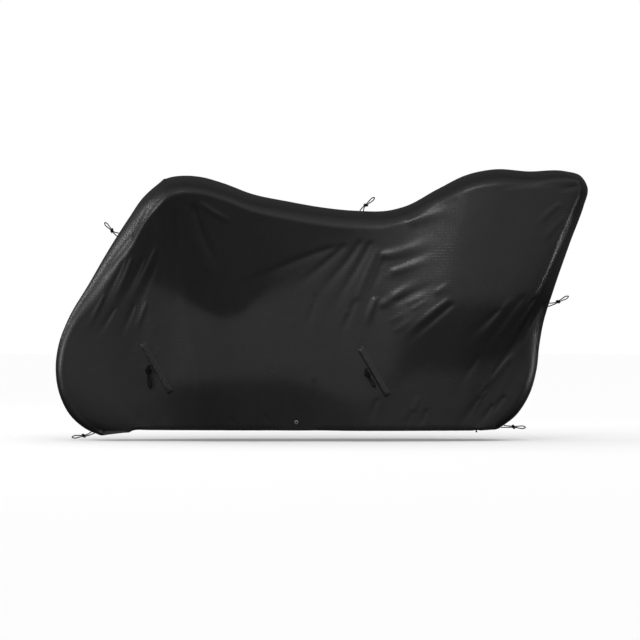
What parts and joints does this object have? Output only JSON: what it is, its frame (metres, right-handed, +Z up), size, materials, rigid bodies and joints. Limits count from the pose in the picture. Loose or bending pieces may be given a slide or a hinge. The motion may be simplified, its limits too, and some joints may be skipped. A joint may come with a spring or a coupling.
{
  "type": "bicycle cover",
  "caption": "Fitted cloth cover in the draped shape it takes over a bicycle: two side panels on one top seam, open at the bottom, with cord loops and a hem eyelet.",
  "frame": {"origin": "a point on the centre plane just under the cloth, at the lowest stretch of the top, where what is covered holds the cover up", "axes": "+X from the front end to the rear end, -Y the near side, +Z up; the ground is about 0.89 m below the origin"},
  "size_m": [2.0538, 0.6111, 1.0401],
  "materials": {
    "fabric": "black coated ripstop cloth with a fine square grid and a soft sheen",
    "cord": "black braided elastic cord",
    "eyelet": "nickel-plated eyelet"
  },
  "bodies": {
    "root": {"near_panel": "fabric", "far_panel": "fabric", "near_flap_front": "fabric", "near_flap_rear": "fabric", "far_flap_front": "fabric", "far_flap_rear": "fabric", "near_eyelet_patch": "fabric", "far_eyelet_patch": "fabric", "near_eyelet": "eyelet", "far_eyelet": "eyelet", "loop_nose": "cord", "loop_top": "cord", "loop_tail": "cord", "loop_hem_front": "cord", "loop_hem_rear": "cord", "near_flap_front_loop": "cord", "near_flap_rear_loop": "cord", "far_flap_front_loop": "cord", "far_flap_rear_loop": "cord", "loop_nose_knot": "cord", "loop_top_knot": "cord", "loop_tail_knot": "cord", "loop_hem_front_knot": "cord", "loop_hem_rear_knot": "cord", "near_flap_front_loop_knot": "cord", "near_flap_rear_loop_knot": "cord", "far_flap_front_loop_knot": "cord", "far_flap_rear_loop_knot": "cord"}
  },
  "joints": []
}
